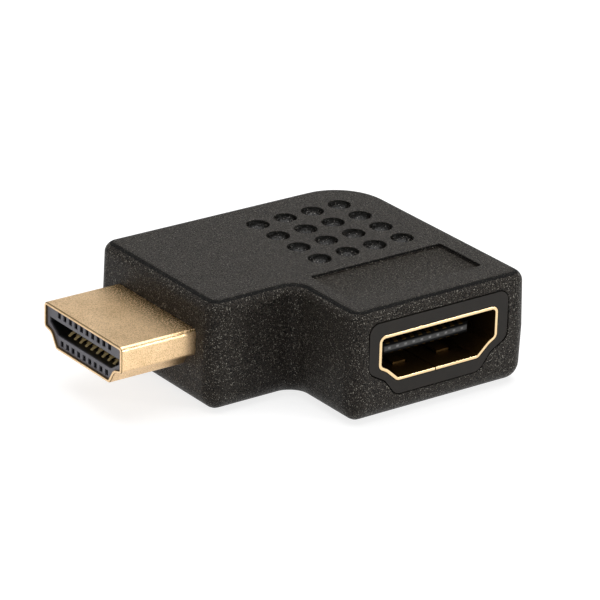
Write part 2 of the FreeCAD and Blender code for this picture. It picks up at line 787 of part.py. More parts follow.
def make_springs(body, name, side):
    """Cuts two windows in the top or bottom of the shell and adds the fingers in them."""
    wall = socket_outline.ceiling if side > 0 else socket_outline.floor
    sheet = size.socket_sheet
    margin = sheet / 4
    front = socket_front + size.spring_setback
    back = front + size.window_margin + size.spring_length
    half = size.spring_width / 2 + size.window_margin
    upper_face = wall if side > 0 else wall + sheet
    for hand, place in (("Left", -size.spring_spread), ("Right", size.spring_spread)):
        plan = make_sketch(body, f"{name}{hand}WindowPlan", "XY_Plane", upper_face + margin)
        draw_outline(plan, rectangle(place - half, place + half, front, back))
        pocket(body, f"{name}{hand}Window", plan, sheet + margin * 2)
        middle = wall - sheet / 2 if side > 0 else wall + sheet / 2
        tip = front + size.window_margin
        spots = [
            (back + sheet, middle),
            (back, middle),
            (tip + size.spring_tip, middle - side * size.spring_dip),
            (tip, middle - side * (size.spring_dip - size.spring_lift)),
        ]
        finger = make_sketch(body, f"{name}{hand}SpringSide", "YZ_Plane", place)
        draw_outline(finger, strip_corners(spots, sheet))
        pad(body, f"{name}{hand}Spring", finger, size.spring_width, both=True)
        document.recompute()


tongue_front = socket_front + size.tongue_setback
tongue_root = socket_back - size.socket_base
tongue_half = size.tongue_thickness / 2
groove_floor = tongue_half - size.groove_depth


def make_socket_insulator():
    """Makes the socket's insulator: a base that fills the shell and a tongue."""
    body = make_body("socket_insulator")
    inset = size.socket_sheet + size.fit
    sketch = make_sketch(body, "SocketBaseOutline", "XZ_Plane", -tongue_root)
    socket_outline.draw(sketch, inset)
    pad(body, "SocketBase", sketch, socket_back - tongue_root, backward=True)
    nose = tongue_half - size.tongue_nose
    side = [(tongue_front, -nose), (tongue_front + size.tongue_nose, -tongue_half),
            (tongue_root + size.tongue_nose, -tongue_half), (tongue_root + size.tongue_nose, tongue_half),
            (tongue_front + size.tongue_nose, tongue_half), (tongue_front, nose)]
    sketch = make_sketch(body, "TongueSide", "YZ_Plane", as_term(0))
    draw_outline(sketch, [(along, board_middle + up) for along, up in side])
    pad(body, "Tongue", sketch, size.tongue_width, both=True)
    cut_tongue_corners(body)
    for name, up, count in (("Upper", 1, size.upper_contacts), ("Lower", -1, size.lower_contacts)):
        cut_grooves(body, name, up, count)
    return body


def cut_tongue_corners(body):
    """Slopes the two front corners of the tongue."""
    half = size.tongue_width / 2
    above = board_middle + size.tongue_thickness
    front = tongue_front - TOUCH
    outside = half + TOUCH
    for name, hand in (("Left", -1), ("Right", 1)):
        sketch = make_sketch(body, f"{name}TongueCornerPlan", "XY_Plane", above)
        draw_outline(sketch, [
            (hand * (half - size.tongue_corner), front), (hand * outside, front),
            (hand * outside, tongue_front + size.tongue_corner),
        ])
        pocket(body, f"{name}TongueCorner", sketch, size.tongue_thickness * 2)


def cut_grooves(body, name, side, count):
    """Cuts one row of contact grooves along the tongue and through the base."""
    half = size.contact_width / 2 + size.groove_margin
    left = -pitch_half(count) - half
    far = groove_floor + size.contact_sheet + size.groove_margin
    low, high = (groove_floor, far) if side > 0 else (-far, -groove_floor)
    sketch = make_sketch(body, f"{name}GrooveOutline", "XZ_Plane", -tongue_front + OVERRUN)
    draw_outline(sketch, rectangle(left, left + half * 2, board_middle + low, board_middle + high))
    groove = pocket(body, f"{name}Groove", sketch, socket_back - tongue_front + OVERRUN * 2)
    row_of(body, f"{name}Grooves", [groove], "X_Axis", size.pitch, count)


def socket_contact_corners(side):
    """Returns the outline of a socket contact, which lies in its groove and ends on the board."""
    sheet = size.contact_sheet
    front = tongue_front + size.nose_setback
    solder = size.board_thickness / 2
    bend = socket_back + size.step_length
    end = bend + size.tail_length
    under = [(front, groove_floor), (socket_back, groove_floor), (bend, solder), (end, solder)]
    over = [(along, up + sheet) for along, up in reversed(under[1:])]
    nose = [(front + size.nose_slope, groove_floor + sheet), (front, groove_floor + size.nose_tip)]
    return [(along, board_middle + side * up) for along, up in under + over + nose]


# Build every piece, check it and write it out

def check(pieces):
    """Stops if any feature failed or any piece isn't one valid solid."""
    document.recompute()
    for item in document.Objects:
        if "Invalid" in item.State or "Error" in item.State:
            raise ValueError(f"{item.Name} failed: {item.State}")
    for piece in pieces:
        shape = piece.Shape
        if shape.isNull() or not shape.isValid() or len(shape.Solids) != 1:
            raise ValueError(f"{piece.Label} isn't one valid solid")


def main():
    """Builds the adapter and writes one file for each piece."""
    pieces = [make_housing(), make_inner_mould(), make_board(), make_plug_shell(), make_plug_insulator(),
              make_socket_shell(), make_socket_insulator()]
    pieces += make_contacts("plug", "XZ_Plane", "y",
                            lambda side: strip_corners(plug_contact_spots(side), size.contact_sheet))
    pieces += make_contacts("socket", "YZ_Plane", "x", socket_contact_corners)
    check(pieces)
    os.makedirs("parts", exist_ok=True)
    for piece in pieces:
        piece.Shape.exportStep(f"parts/{piece.Label}.step")
        print(piece.Label, round(piece.Shape.Volume, 2))


main()
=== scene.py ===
"""Looks of a flat right angle adapter for audio and video cables.

A metal plug leaves the arm of an L-shaped housing along -X, and the socket in the block beside it
opens along -Y. The base lies on the floor at Z = 0. Sizes in this file are in millimetres unless a
name says otherwise, and meshes are in metres.
"""
import logging
import math
from collections.abc import Iterable, Sequence
from dataclasses import dataclass, field
from enum import Enum
from itertools import product
from typing import Any

import bmesh
import bpy
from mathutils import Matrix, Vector


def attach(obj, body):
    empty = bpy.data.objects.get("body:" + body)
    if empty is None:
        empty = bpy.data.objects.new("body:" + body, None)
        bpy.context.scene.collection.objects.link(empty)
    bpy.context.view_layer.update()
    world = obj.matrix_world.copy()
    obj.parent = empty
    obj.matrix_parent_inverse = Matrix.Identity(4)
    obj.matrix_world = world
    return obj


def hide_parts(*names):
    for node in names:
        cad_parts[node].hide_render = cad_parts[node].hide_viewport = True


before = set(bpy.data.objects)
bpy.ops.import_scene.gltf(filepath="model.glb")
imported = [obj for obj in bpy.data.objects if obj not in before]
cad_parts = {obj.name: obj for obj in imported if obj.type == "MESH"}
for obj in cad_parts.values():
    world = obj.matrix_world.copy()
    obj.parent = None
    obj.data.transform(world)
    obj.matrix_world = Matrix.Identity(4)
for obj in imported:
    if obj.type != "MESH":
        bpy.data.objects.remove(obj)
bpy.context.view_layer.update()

MM = 0.001
ROOT = "root"
LEAST_RADIUS = 0.02
LEVEL_FADE = 0.06
NOISE_MIDDLE = 0.5
SECOND_MATERIAL = 1
log = logging.getLogger("adapter")

Point = tuple[float, float]
Span = tuple[float, float]
Colour = tuple[float, float, float]


# Shader maths

@dataclass(frozen=True)
class Signal:
    """An output socket that can be used in an expression, each step of which adds a Math node."""

    graph: "Graph"
    socket: bpy.types.NodeSocket | None

    def math(self, operation: str, *values: "Signal | float") -> "Signal":
        """Adds a Math node of an operation, with its inputs in order."""
        inputs = dict(enumerate(values))
        return self.graph.add("ShaderNodeMath", {"operation": operation}, inputs)

    def __add__(self, other: "Signal | float") -> "Signal":
        """Adds a value."""
        return self.math("ADD", self, other)

    def __sub__(self, other: "Signal | float") -> "Signal":
        """Takes a value away."""
        return self.math("SUBTRACT", self, other)

    def __mul__(self, other: "Signal | float") -> "Signal":
        """Multiplies by a value."""
        return self.math("MULTIPLY", self, other)

    def __radd__(self, other: float) -> "Signal":
        """Adds to a number."""
        return self.math("ADD", other, self)

    def __rsub__(self, other: float) -> "Signal":
        """Takes away from a number."""
        return self.math("SUBTRACT", other, self)

    def __rmul__(self, other: float) -> "Signal":
        """Multiplies a number."""
        return self.math("MULTIPLY", other, self)

    def greater(self, other: "Signal | float") -> "Signal":
        """Returns the greater of this and another value."""
        return self.math("MAXIMUM", self, other)

    def window(self, low: float, high: float) -> "Signal":
        """Rises smoothly from 0 at one value to 1 at another.

        Args:
            low: The value that gives 0.
            high: The value that gives 1.

        Returns:
            The smooth step.
        """
        settings = {"interpolation_type": "SMOOTHSTEP"}
        inputs = {"Value": self, "From Min": low, "From Max": high, "To Min": 0.0, "To Max": 1.0}
        return self.graph.add("ShaderNodeMapRange", settings, inputs)


class Graph:
    """The shader nodes of one material or of the world."""

    def __init__(self, owner: bpy.types.Material | bpy.types.World) -> None:
        """Empties the owner's node tree.

        Args:
            owner: The material or world whose nodes are made.
        """
        owner.use_nodes = True
        self.tree = owner.node_tree
        self.tree.nodes.clear()

    def add(self, kind: str, settings: dict[str, Any] | None = None,
            inputs: dict[str | int, Any] | None = None, output: str | int = 0) -> Signal:
        """Adds a node.

        Args:
            kind: The node's type.
            settings: Properties that are set first, such as a Math node's operation.
            inputs: Values or links of the node's sockets, by name or number.
            output: The output socket to return.

        Returns:
            The chosen output, which is empty for a node without outputs.
        """
        node = self.tree.nodes.new(kind)
        for name, value in (settings or {}).items():
            setattr(node, name, value)
        for name, value in (inputs or {}).items():
            if isinstance(value, Signal):
                self.tree.links.new(value.socket, node.inputs[name])
            else:
                node.inputs[name].default_value = value
        return Signal(self, node.outputs[output] if node.outputs else None)

    def position(self) -> Signal:
        """Returns the place on the object, in metres."""
        return self.add("ShaderNodeTexCoord", output="Object")

    def along(self, axis: str) -> Signal:
        """Returns the place along one axis of the object, X, Y or Z, in mm."""
        inputs = {"Vector": self.position()}
        return self.add("ShaderNodeSeparateXYZ", None, inputs, axis) * (1 / MM)

    def off_level(self, level: float, half: float) -> Signal:
        """Returns 1 away from a height and 0 near it.

        Args:
            level: The height, in mm.
            half: How far from it the change starts, in mm.

        Returns:
            The mask.
        """
        offset = self.along("Z") - level
        away = offset.math("ABSOLUTE", offset)
        return away.window(half, half + LEVEL_FADE)

    def noise(self, grain: float, detail: float = 2.0, roughness: float = 0.5) -> Signal:
        """Adds a noise texture.

        Args:
            grain: The size of its blotches, in mm.
            detail: The number of finer layers.
            roughness: The strength of the finer layers.

        Returns:
            The noise, from 0 to 1.
        """
        inputs = {"Vector": self.position(), "Scale": 1 / (grain * MM), "Detail": detail,
                  "Roughness": roughness}
        return self.add("ShaderNodeTexNoise", None, inputs, "Fac")

    def cells(self, grain: float) -> Signal:
        """Returns the distance to the nearest of many points, about a grain in mm apart."""
        inputs = {"Vector": self.position(), "Scale": 1 / (grain * MM)}
        return self.add("ShaderNodeTexVoronoi", {"feature": "F1"}, inputs, "Distance")

    def blend(self, share: Signal | float, first: Any, second: Any) -> Signal:
        """Mixes two colours.

        Args:
            share: The second colour's share.
            first: A colour or a signal.
            second: A colour or a signal.

        Returns:
            The mixed colour.
        """
        settings = {"data_type": "RGBA"}
        inputs = {0: share, 6: as_colour(first), 7: as_colour(second)}
        return self.add("ShaderNodeMix", settings, inputs, 2)

    def bump(self, height: Signal, depth: float) -> Signal:
        """Turns a height from 0 to 1 into a normal, for a depth in mm."""
        return self.add("ShaderNodeBump", None, {"Height": height, "Distance": depth * MM})

    def surface(self, shader: Signal, target: str = "ShaderNodeOutputMaterial") -> None:
        """Sends a shader to an output node of the type given."""
        self.add(target, None, {"Surface": shader})


def as_colour(value: Any) -> Any:
    """Returns a colour with its alpha, or a signal as it is."""
    return value if isinstance(value, Signal) else (*value, 1.0)


# Finishes

class Finish:
    """A finish, which makes one material."""

    name: str

    def inputs(self, graph: Graph) -> dict[str, Any]:
        """Returns the inputs of the surface's shader, by name."""
        raise NotImplementedError

    def make(self) -> bpy.types.Material:
        """Makes the material.

        Returns:
            The material.
        """
        material = bpy.data.materials.new(self.name)
        graph = Graph(material)
        graph.surface(graph.add("ShaderNodeBsdfPrincipled", None, self.inputs(graph)))
        return material


@dataclass(frozen=True)
class MouldedGrain(Finish):
    """Matte plastic from a spark-eroded mould: a fine, sparkling grain.

    Its sparkle is partly painted: bright glints in its colour, fainter on the top face. Painted
    shade darkens its pits, and a thin line of painted shade runs round the top face.
    """

    name: str = "moulded_grain"
    shade: Colour = (0.030, 0.025, 0.020)
    painted_glint: Colour = (0.52, 0.49, 0.42)
    pit_and_rim_shade: Colour = (0.001, 0.001, 0.001)
    glint_size: float = 0.11
    glint_edge: Span = (0.14, 0.42)
    glint_polish: float = 0.2
    patch_ratio: float = 1.7
    patch_edge: Span = (0.5, 0.64)
    pit_size: float = 0.11
    pit_edge: Span = (0.52, 0.36)
    pit_dullness: float = 0.1
    pit_relief: float = 0.7
    depth: float = 0.16
    roughness: float = 0.38
    sheen: float = 0.1
    top: float = 11.8
    top_edge: Span = (-0.045, -0.015)
    top_share: float = 0.6
    rim_edge: Span = (-0.25, -0.18)
    rim_darkness: float = 0.97
    rim_dullness: float = 0.25
    rim_loss: float = 0.8

    def inputs(self, graph: Graph) -> dict[str, Any]:
        """Makes its nodes.

        Args:
            graph: The material's graph.

        Returns:
            The shader's inputs, by name.
        """
        cells = graph.cells(self.glint_size)
        coarse = graph.noise(self.pit_size, detail=0.0)
        patches = graph.noise(self.glint_size * self.patch_ratio, detail=1.0)
        height = graph.along("Z") - self.top
        level = height.window(*self.top_edge)
        # Painted shade: a thin dark line on the rounding just below the top face.
        rim = height.window(*self.rim_edge) * (1 - level)
        # Painted glints: bright specks in the colour, fewer on the top face; they are also
        # glossier.
        glints = (1 - cells.window(*self.glint_edge)) * patches.window(*self.patch_edge)
        glints = glints * (1 - (1 - self.top_share) * level) * (1 - self.rim_loss * rim)
        # Painted shade: the grain's pits are near black in colour.
        pits = coarse.window(*self.pit_edge)
        colour = graph.blend(pits.greater(self.rim_darkness * rim), self.shade, self.pit_and_rim_shade)
        colour = graph.blend(glints, colour, self.painted_glint)
        relief = coarse * self.pit_relief + (1 - cells) * (1 - self.pit_relief)
        rough = self.roughness - self.glint_polish * glints + self.pit_dullness * pits
        return {
            "Base Color": colour,
            "Roughness": rough + self.rim_dullness * rim,
            "Specular IOR Level": self.sheen,
            "Normal": graph.bump(relief, self.depth),
        }


@dataclass(frozen=True)
class SmoothMould(Finish):
    """Smooth moulded plastic with faint flow marks.

    With an axis, painted shade darkens it behind its front face, and with a half height also away
    from its level, where the tongue's edge has a row of pale marks.
    """

    name: str
    shade: Colour
    light: Colour
    roughness: float = 0.45
    mottle_size: float = 1.6
    mottle_edge: Span = (0.35, 0.7)
    mottle_share: float = 0.7
    mottle_dullness: float = 0.12
    grain: float = 0.09
    grain_dullness: float = 0.08
    depth: float = 0.004
    sheen: float = 0.4
    axis: str = ""
    face: float = 0.0
    fade: float = 0.3
    deep: Colour = (0.003, 0.003, 0.003)
    level: float = 0.0
    half: float = 0.0
    marks: Colour = (0.24, 0.24, 0.24)
    mark_pitch: float = 1.0
    mark_start: Span = (0.3, 0.4)
    mark_end: Span = (0.6, 0.7)
    mark_height: float = 0.35

    def add_marks(self, graph: Graph, colour: Signal) -> Signal:
        """Adds the pale marks at the level.

        Args:
            graph: The material's graph.
            colour: The colour without them.

        Returns:
            The colour with them.
        """
        pitches = graph.along("X") * (1 / self.mark_pitch)
        place = pitches.math("FRACT", pitches)
        dots = place.window(*self.mark_start) * (1 - place.window(*self.mark_end))
        inner = 1 - graph.off_level(self.level, self.half * self.mark_height)
        return graph.blend(dots * inner, colour, self.marks)

    def inputs(self, graph: Graph) -> dict[str, Any]:
        """Makes its nodes.

        Args:
            graph: The material's graph.

        Returns:
            The shader's inputs, by name.
        """
        mottle = graph.noise(self.mottle_size, detail=3.0)
        grain = graph.noise(self.grain)
        share = mottle.window(*self.mottle_edge) * self.mottle_share
        colour = graph.blend(share + grain * (1 - self.mottle_share), self.shade, self.light)
        if self.axis:
            # Painted shade: darker behind the front face, and for the tongue away from its level.
            painted_shade_mask = graph.along(self.axis).window(self.face, self.face + self.fade)
            if self.half:
                colour = self.add_marks(graph, colour)
                painted_shade_mask = painted_shade_mask.greater(graph.off_level(self.level, self.half))
            colour = graph.blend(painted_shade_mask, colour, self.deep)
        rough = self.roughness + self.mottle_dullness * (mottle - NOISE_MIDDLE)
        return {
            "Base Color": colour,
            "Roughness": rough + self.grain_dullness * (grain - NOISE_MIDDLE),
            "Specular IOR Level": self.sheen,
            "Normal": graph.bump(grain, self.depth),
        }


@dataclass(frozen=True)
class GoldPlate(Finish):
    """Gold plating on folded sheet, satin or bright.

    With a root, its top darkens in specks towards it: a painted reflection of the dark housing.
    With a half height, painted shade darkens it away from its level.
    """

    name: str
    light: Colour
    deep: Colour
    roughness: float
    grain: float = 0.1
    grain_edge: Span = (0.58, 0.36)
    grain_dullness: float = 0.1
    cloud_size: float = 3.5
    cloud_edge: Span = (0.3, 0.75)
    cloud_share: float = 0.3
    cloud_dullness: float = 0.06
    depth: float = 0.004
    metal: float = 1.0
    root: float = 0.0
    fade: float = 4.5
    upper: float = 8.3
    upper_fade: float = 0.1
    speck_ratio: float = 1.5
    speck_edge: Span = (0.56, 0.46)
    reflected_housing: Colour = (0.13, 0.075, 0.012)
    level: float = 0.0
    half: float = 0.0
    dark: Colour = (0.004, 0.003, 0.002)

    def inputs(self, graph: Graph) -> dict[str, Any]:
        """Makes its nodes.

        Args:
            graph: The material's graph.

        Returns:
            The shader's inputs, by name.
        """
        cloud = graph.noise(self.cloud_size)
        grain = graph.noise(self.grain, roughness=0.7)
        share = cloud.window(*self.cloud_edge) * self.cloud_share
        share = share + grain.window(*self.grain_edge) * (1 - self.cloud_share)
        colour = graph.blend(share, self.light, self.deep)
        if self.root:
            # Painted reflection: darker specks on the top near the root, where it would mirror the
            # dark housing.
            near = graph.along("X").window(self.root - self.fade, self.root)
            near = near * graph.along("Z").window(self.upper - self.upper_fade, self.upper)
            specks = graph.noise(self.grain * self.speck_ratio, detail=0.0)
            specks = specks.window(*self.speck_edge)
            colour = graph.blend(near * specks, colour, self.reflected_housing)
        if self.half:
            # Painted shade: dark away from the level.
            colour = graph.blend(graph.off_level(self.level, self.half), colour, self.dark)
        rough = self.roughness + self.cloud_dullness * (cloud - NOISE_MIDDLE)
        return {
            "Base Color": colour,
            "Metallic": self.metal,
            "Roughness": rough + self.grain_dullness * (grain - NOISE_MIDDLE),
            "Normal": graph.bump(grain, self.depth),
        }


@dataclass(frozen=True)
class BoardLacquer(Finish):
    """Green lacquer over a woven glass board."""

    name: str = "board_lacquer"
    shade: Colour = (0.012, 0.10, 0.035)
    light: Colour = (0.03, 0.17, 0.07)
    weave: float = 0.5
    weave_share: float = 0.6
    cloud_size: float = 2.0
    cloud_dullness: float = 0.15
    roughness: float = 0.25
    depth: float = 0.01

    def inputs(self, graph: Graph) -> dict[str, Any]:
        """Makes its nodes.

        Args:
            graph: The material's graph.

        Returns:
            The shader's inputs, by name.
        """
        weave = graph.cells(self.weave)
        cloud = graph.noise(self.cloud_size)
        share = weave * self.weave_share + cloud * (1 - self.weave_share)
        return {
            "Base Color": graph.blend(share, self.shade, self.light),
            "Roughness": self.roughness + self.cloud_dullness * cloud,
            "Normal": graph.bump(weave, self.depth),
        }


# Mesh helpers

def rounded(corners: Sequence[Point], radii: Sequence[float], steps: int) -> list[Point]:
    """Rounds the corners of a closed outline.

    Args:
        corners: The sharp corners, in order.
        radii: Each corner's radius.
        steps: The parts that each arc is divided into.

    Returns:
        The outline's points, as many for each corner.
    """
    spots = [Vector(corner) for corner in corners]
    outline: list[Point] = []
    for index, (spot, radius) in enumerate(zip(spots, radii)):
        back = (spots[index - 1] - spot).normalized()
        ahead = (spots[(index + 1) % len(spots)] - spot).normalized()
        half = back.angle(ahead) / 2
        towards = (back + ahead).normalized()
        centre = spot + towards * (radius / math.sin(half))
        start = spot + back * (radius / math.tan(half)) - centre
        end = spot + ahead * (radius / math.tan(half)) - centre
        turn = math.pi - 2 * half
        for step in range(steps + 1):
            share = step / steps
            first = math.sin((1 - share) * turn) / math.sin(turn)
            second = math.sin(share * turn) / math.sin(turn)
            outline.append(tuple(centre + start * first + end * second))
    return outline


def loft(bm: bmesh.types.BMesh, rings: Sequence[Sequence[Vector]], looped: bool = False) -> None:
    """Joins rings of as many points each into a closed skin.

    Args:
        bm: The mesh that gets the faces.
        rings: The rings, in mm, in order.
        looped: Whether the last ring joins the first, where the ends would be capped otherwise.
    """
    rows = [[bm.verts.new(point * MM) for point in ring] for ring in rings]
    pairs = list(zip(rows, rows[1:]))
    if looped:
        pairs.append((rows[-1], rows[0]))
    else:
        bm.faces.new(rows[0])
        bm.faces.new(rows[-1])
    for near, far in pairs:
        for index in range(len(near)):
            before = index - 1
            bm.faces.new((near[before], near[index], far[index], far[before]))


def level_ring(outline: Iterable[Point], height: float) -> list[Vector]:
    """Returns an outline in plan as a ring at a height, in mm."""
    return [Vector((*point, height)) for point in outline]


def make_object(name: str, bm: bmesh.types.BMesh) -> bpy.types.Object:
    """Turns a mesh in the making into an object.

    Args:
        name: The object's name.
        bm: The mesh, which is used up.

    Returns:
        The object.
    """
    bmesh.ops.recalc_face_normals(bm, faces=bm.faces[:])
    mesh = bpy.data.meshes.new(name)
    bm.to_mesh(mesh)
    bm.free()
    shown = bpy.data.objects.new(name, mesh)
    bpy.context.scene.collection.objects.link(shown)
    return shown


def lofted(name: str, rings: Sequence[Sequence[Vector]], looped: bool = False) -> bpy.types.Object:
    """Makes an object from rings.

    Args:
        name: The object's name.
        rings: The rings, in mm, in order.
        looped: Whether the last ring joins the first.

    Returns:
        The object.
    """
    bm = bmesh.new()
    loft(bm, rings, looped)
    return make_object(name, bm)


def settle(shown: bpy.types.Object) -> None:
    """Writes an object's modifiers into its mesh.

    Args:
        shown: The object.
    """
    graph = bpy.context.evaluated_depsgraph_get()
    mesh = bpy.data.meshes.new_from_object(shown.evaluated_get(graph))
    shown.modifiers.clear()
    shown.data = mesh


def cut(shown: bpy.types.Object, cutters: Iterable[bpy.types.Object]) -> None:
    """Cuts closed shapes out of an object, and removes the shapes.

    Args:
        shown: The object that is cut.
        cutters: The shapes to cut out.
    """
    for cutter in cutters:
        modifier = shown.modifiers.new("cut", "BOOLEAN")
        modifier.operation = "DIFFERENCE"
        modifier.solver = "EXACT"
        modifier.object = cutter
        settle(shown)
        bpy.data.objects.remove(cutter)


def smooth(shown: bpy.types.Object, sharp_degrees: float = 32.0) -> None:
    """Shades an object smoothly, with sharp edges and flat faces kept.

    Args:
        shown: The object.
        sharp_degrees: The angle from which an edge stays sharp.
    """
    mesh = shown.data
    mesh.polygons.foreach_set("use_smooth", [True] * len(mesh.polygons))
    mesh.set_sharp_from_angle(angle=math.radians(sharp_degrees))
    modifier = shown.modifiers.new("flat_faces", "WEIGHTED_NORMAL")
    modifier.keep_sharp = True
    modifier.weight = 100
    settle(shown)


def rounding(radius: float, steps: int) -> list[Point]:
    """Returns a quarter circle, from its radius on the first axis to that on the second."""
    turns = [math.pi / 2 * step / steps for step in range(steps + 1)]
    return [(radius * (1 - math.sin(turn)), radius * (1 - math.cos(turn))) for turn in turns]


def rectangle(width: float, height: float) -> list[Point]:
    """Returns the corners of a rectangle round its middle."""
    across, up = width / 2, height / 2
    return [(-across, -up), (across, -up), (across, up), (-across, up)]


def block(name: str, low: Vector, high: Vector) -> bpy.types.Object:
    """Makes a box-shaped cutter from its least and greatest corners, in mm."""
    corners = [(low.x, low.y), (high.x, low.y), (high.x, high.y), (low.x, high.y)]
    return lofted(name, [level_ring(corners, height) for height in (low.z, high.z)])


def dress(shown: bpy.types.Object, material: bpy.types.Material,
          stands_for: Sequence[str] = ()) -> None:
    """Gives a new piece its finish and its place in the frame.

    Args:
        shown: The piece.
        material: Its material.
        stands_for: The CAD nodes that it replaces.
    """
    shown.data.materials.clear()
    shown.data.materials.append(material)
    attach(shown, ROOT)
    if stands_for:
        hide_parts(*stands_for)
    log.info("%s: %d faces", shown.name, len(shown.data.polygons))


def coat(start: str, material: bpy.types.Material) -> None:
    """Puts a material on CAD nodes.

    Args:
        start: The start of the nodes' names.
        material: The material.
    """
    names = sorted(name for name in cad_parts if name.startswith(start))
    for name in names:
        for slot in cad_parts[name].material_slots:
            slot.material = material
    log.info("%s: %d nodes from %s", material.name, len(names), names[0])


# Outlines of the connectors

class Heading(Enum):
    """Which way a connector points."""

    PLUG = "-X"
    SOCKET = "-Y"

    def place(self, across: float, up: float, along: float) -> Vector:
        """Returns a place from its distances across, up and along the connector.

        Args:
            across: The distance from the connector's middle plane.
            up: The height above the base.
            along: The place along the connector's axis.

        Returns:
            The place in the frame, in mm.
        """
        if self is Heading.PLUG:
            return Vector((along, across, up))
        return Vector((across, along, up))


@dataclass(frozen=True)
class KeyedOutline:
    """The outline of a connector: square above, narrowed below by a sloping shoulder."""

    width: float
    height: float
    middle: float
    upright: float
    shelf: float
    shelf_angle: float
    flank_angle: float
    corner: float
    hollow: float
    steps: int = 8

    def right_side(self, inset: float) -> list[Point]:
        """Returns the sharp corners of the right side, moved inward.

        Args:
            inset: The distance inward.

        Returns:
            The upper corner, the shoulder, the hollow and the foot.
        """
        shelf_slope = math.radians(self.shelf_angle)
        flank_slope = math.radians(self.flank_angle)
        half = self.width / 2
        ceiling = self.middle + self.height / 2
        ground = self.middle - self.height / 2
        shoulder = ceiling - self.upright
        bend_across = half - self.shelf
        bend_up = shoulder - self.shelf * math.tan(shelf_slope)
        foot = bend_across - (bend_up - ground) / math.tan(flank_slope)
        mean = (shelf_slope + flank_slope) / 2
        reach = inset / math.cos((flank_slope - shelf_slope) / 2)
        return [
            (half - inset, ceiling - inset),
            (half - inset, shoulder + inset * math.tan((math.pi / 2 - shelf_slope) / 2)),
            (bend_across - reach * math.sin(mean), bend_up + reach * math.cos(mean)),
            (foot - inset * math.tan(flank_slope / 2), ground + inset),
        ]

    def points(self, inset: float) -> list[Point]:
        """Returns the rounded outline, moved inward.

        Args:
            inset: The distance inward, or outward where it is negative.

        Returns:
            The outline's points.
        """
        right = self.right_side(inset)
        left = [(-across, up) for across, up in reversed(right)]
        outer = max(self.corner - inset, LEAST_RADIUS)
        radii = [outer, outer, self.hollow + inset, outer]
        return rounded(right + left, radii + radii[::-1], self.steps)

    def ring(self, heading: Heading, inset: float, along: float) -> list[Vector]:
        """Returns the outline, moved inward, as a ring at a place along the connector's axis."""
        return [heading.place(across, up, along) for across, up in self.points(inset)]


PLUG_OUTLINE = KeyedOutline(
    width=13.9, height=4.45, middle=6.2, upright=2.7, shelf=1.25,
    shelf_angle=15, flank_angle=58, corner=0.45, hollow=0.7,
)
SOCKET_OUTLINE = KeyedOutline(
    width=14.66, height=5.2, middle=6.44, upright=3.45, shelf=0.95,
    shelf_angle=29, flank_angle=42, corner=0.75, hollow=0.8,
)
SURROUND_OUTLINE = KeyedOutline(
    width=17.06, height=8.0, middle=6.44, upright=5.05, shelf=2.0,
    shelf_angle=30, flank_angle=52, corner=1.1, hollow=1.0,
)


# The housing

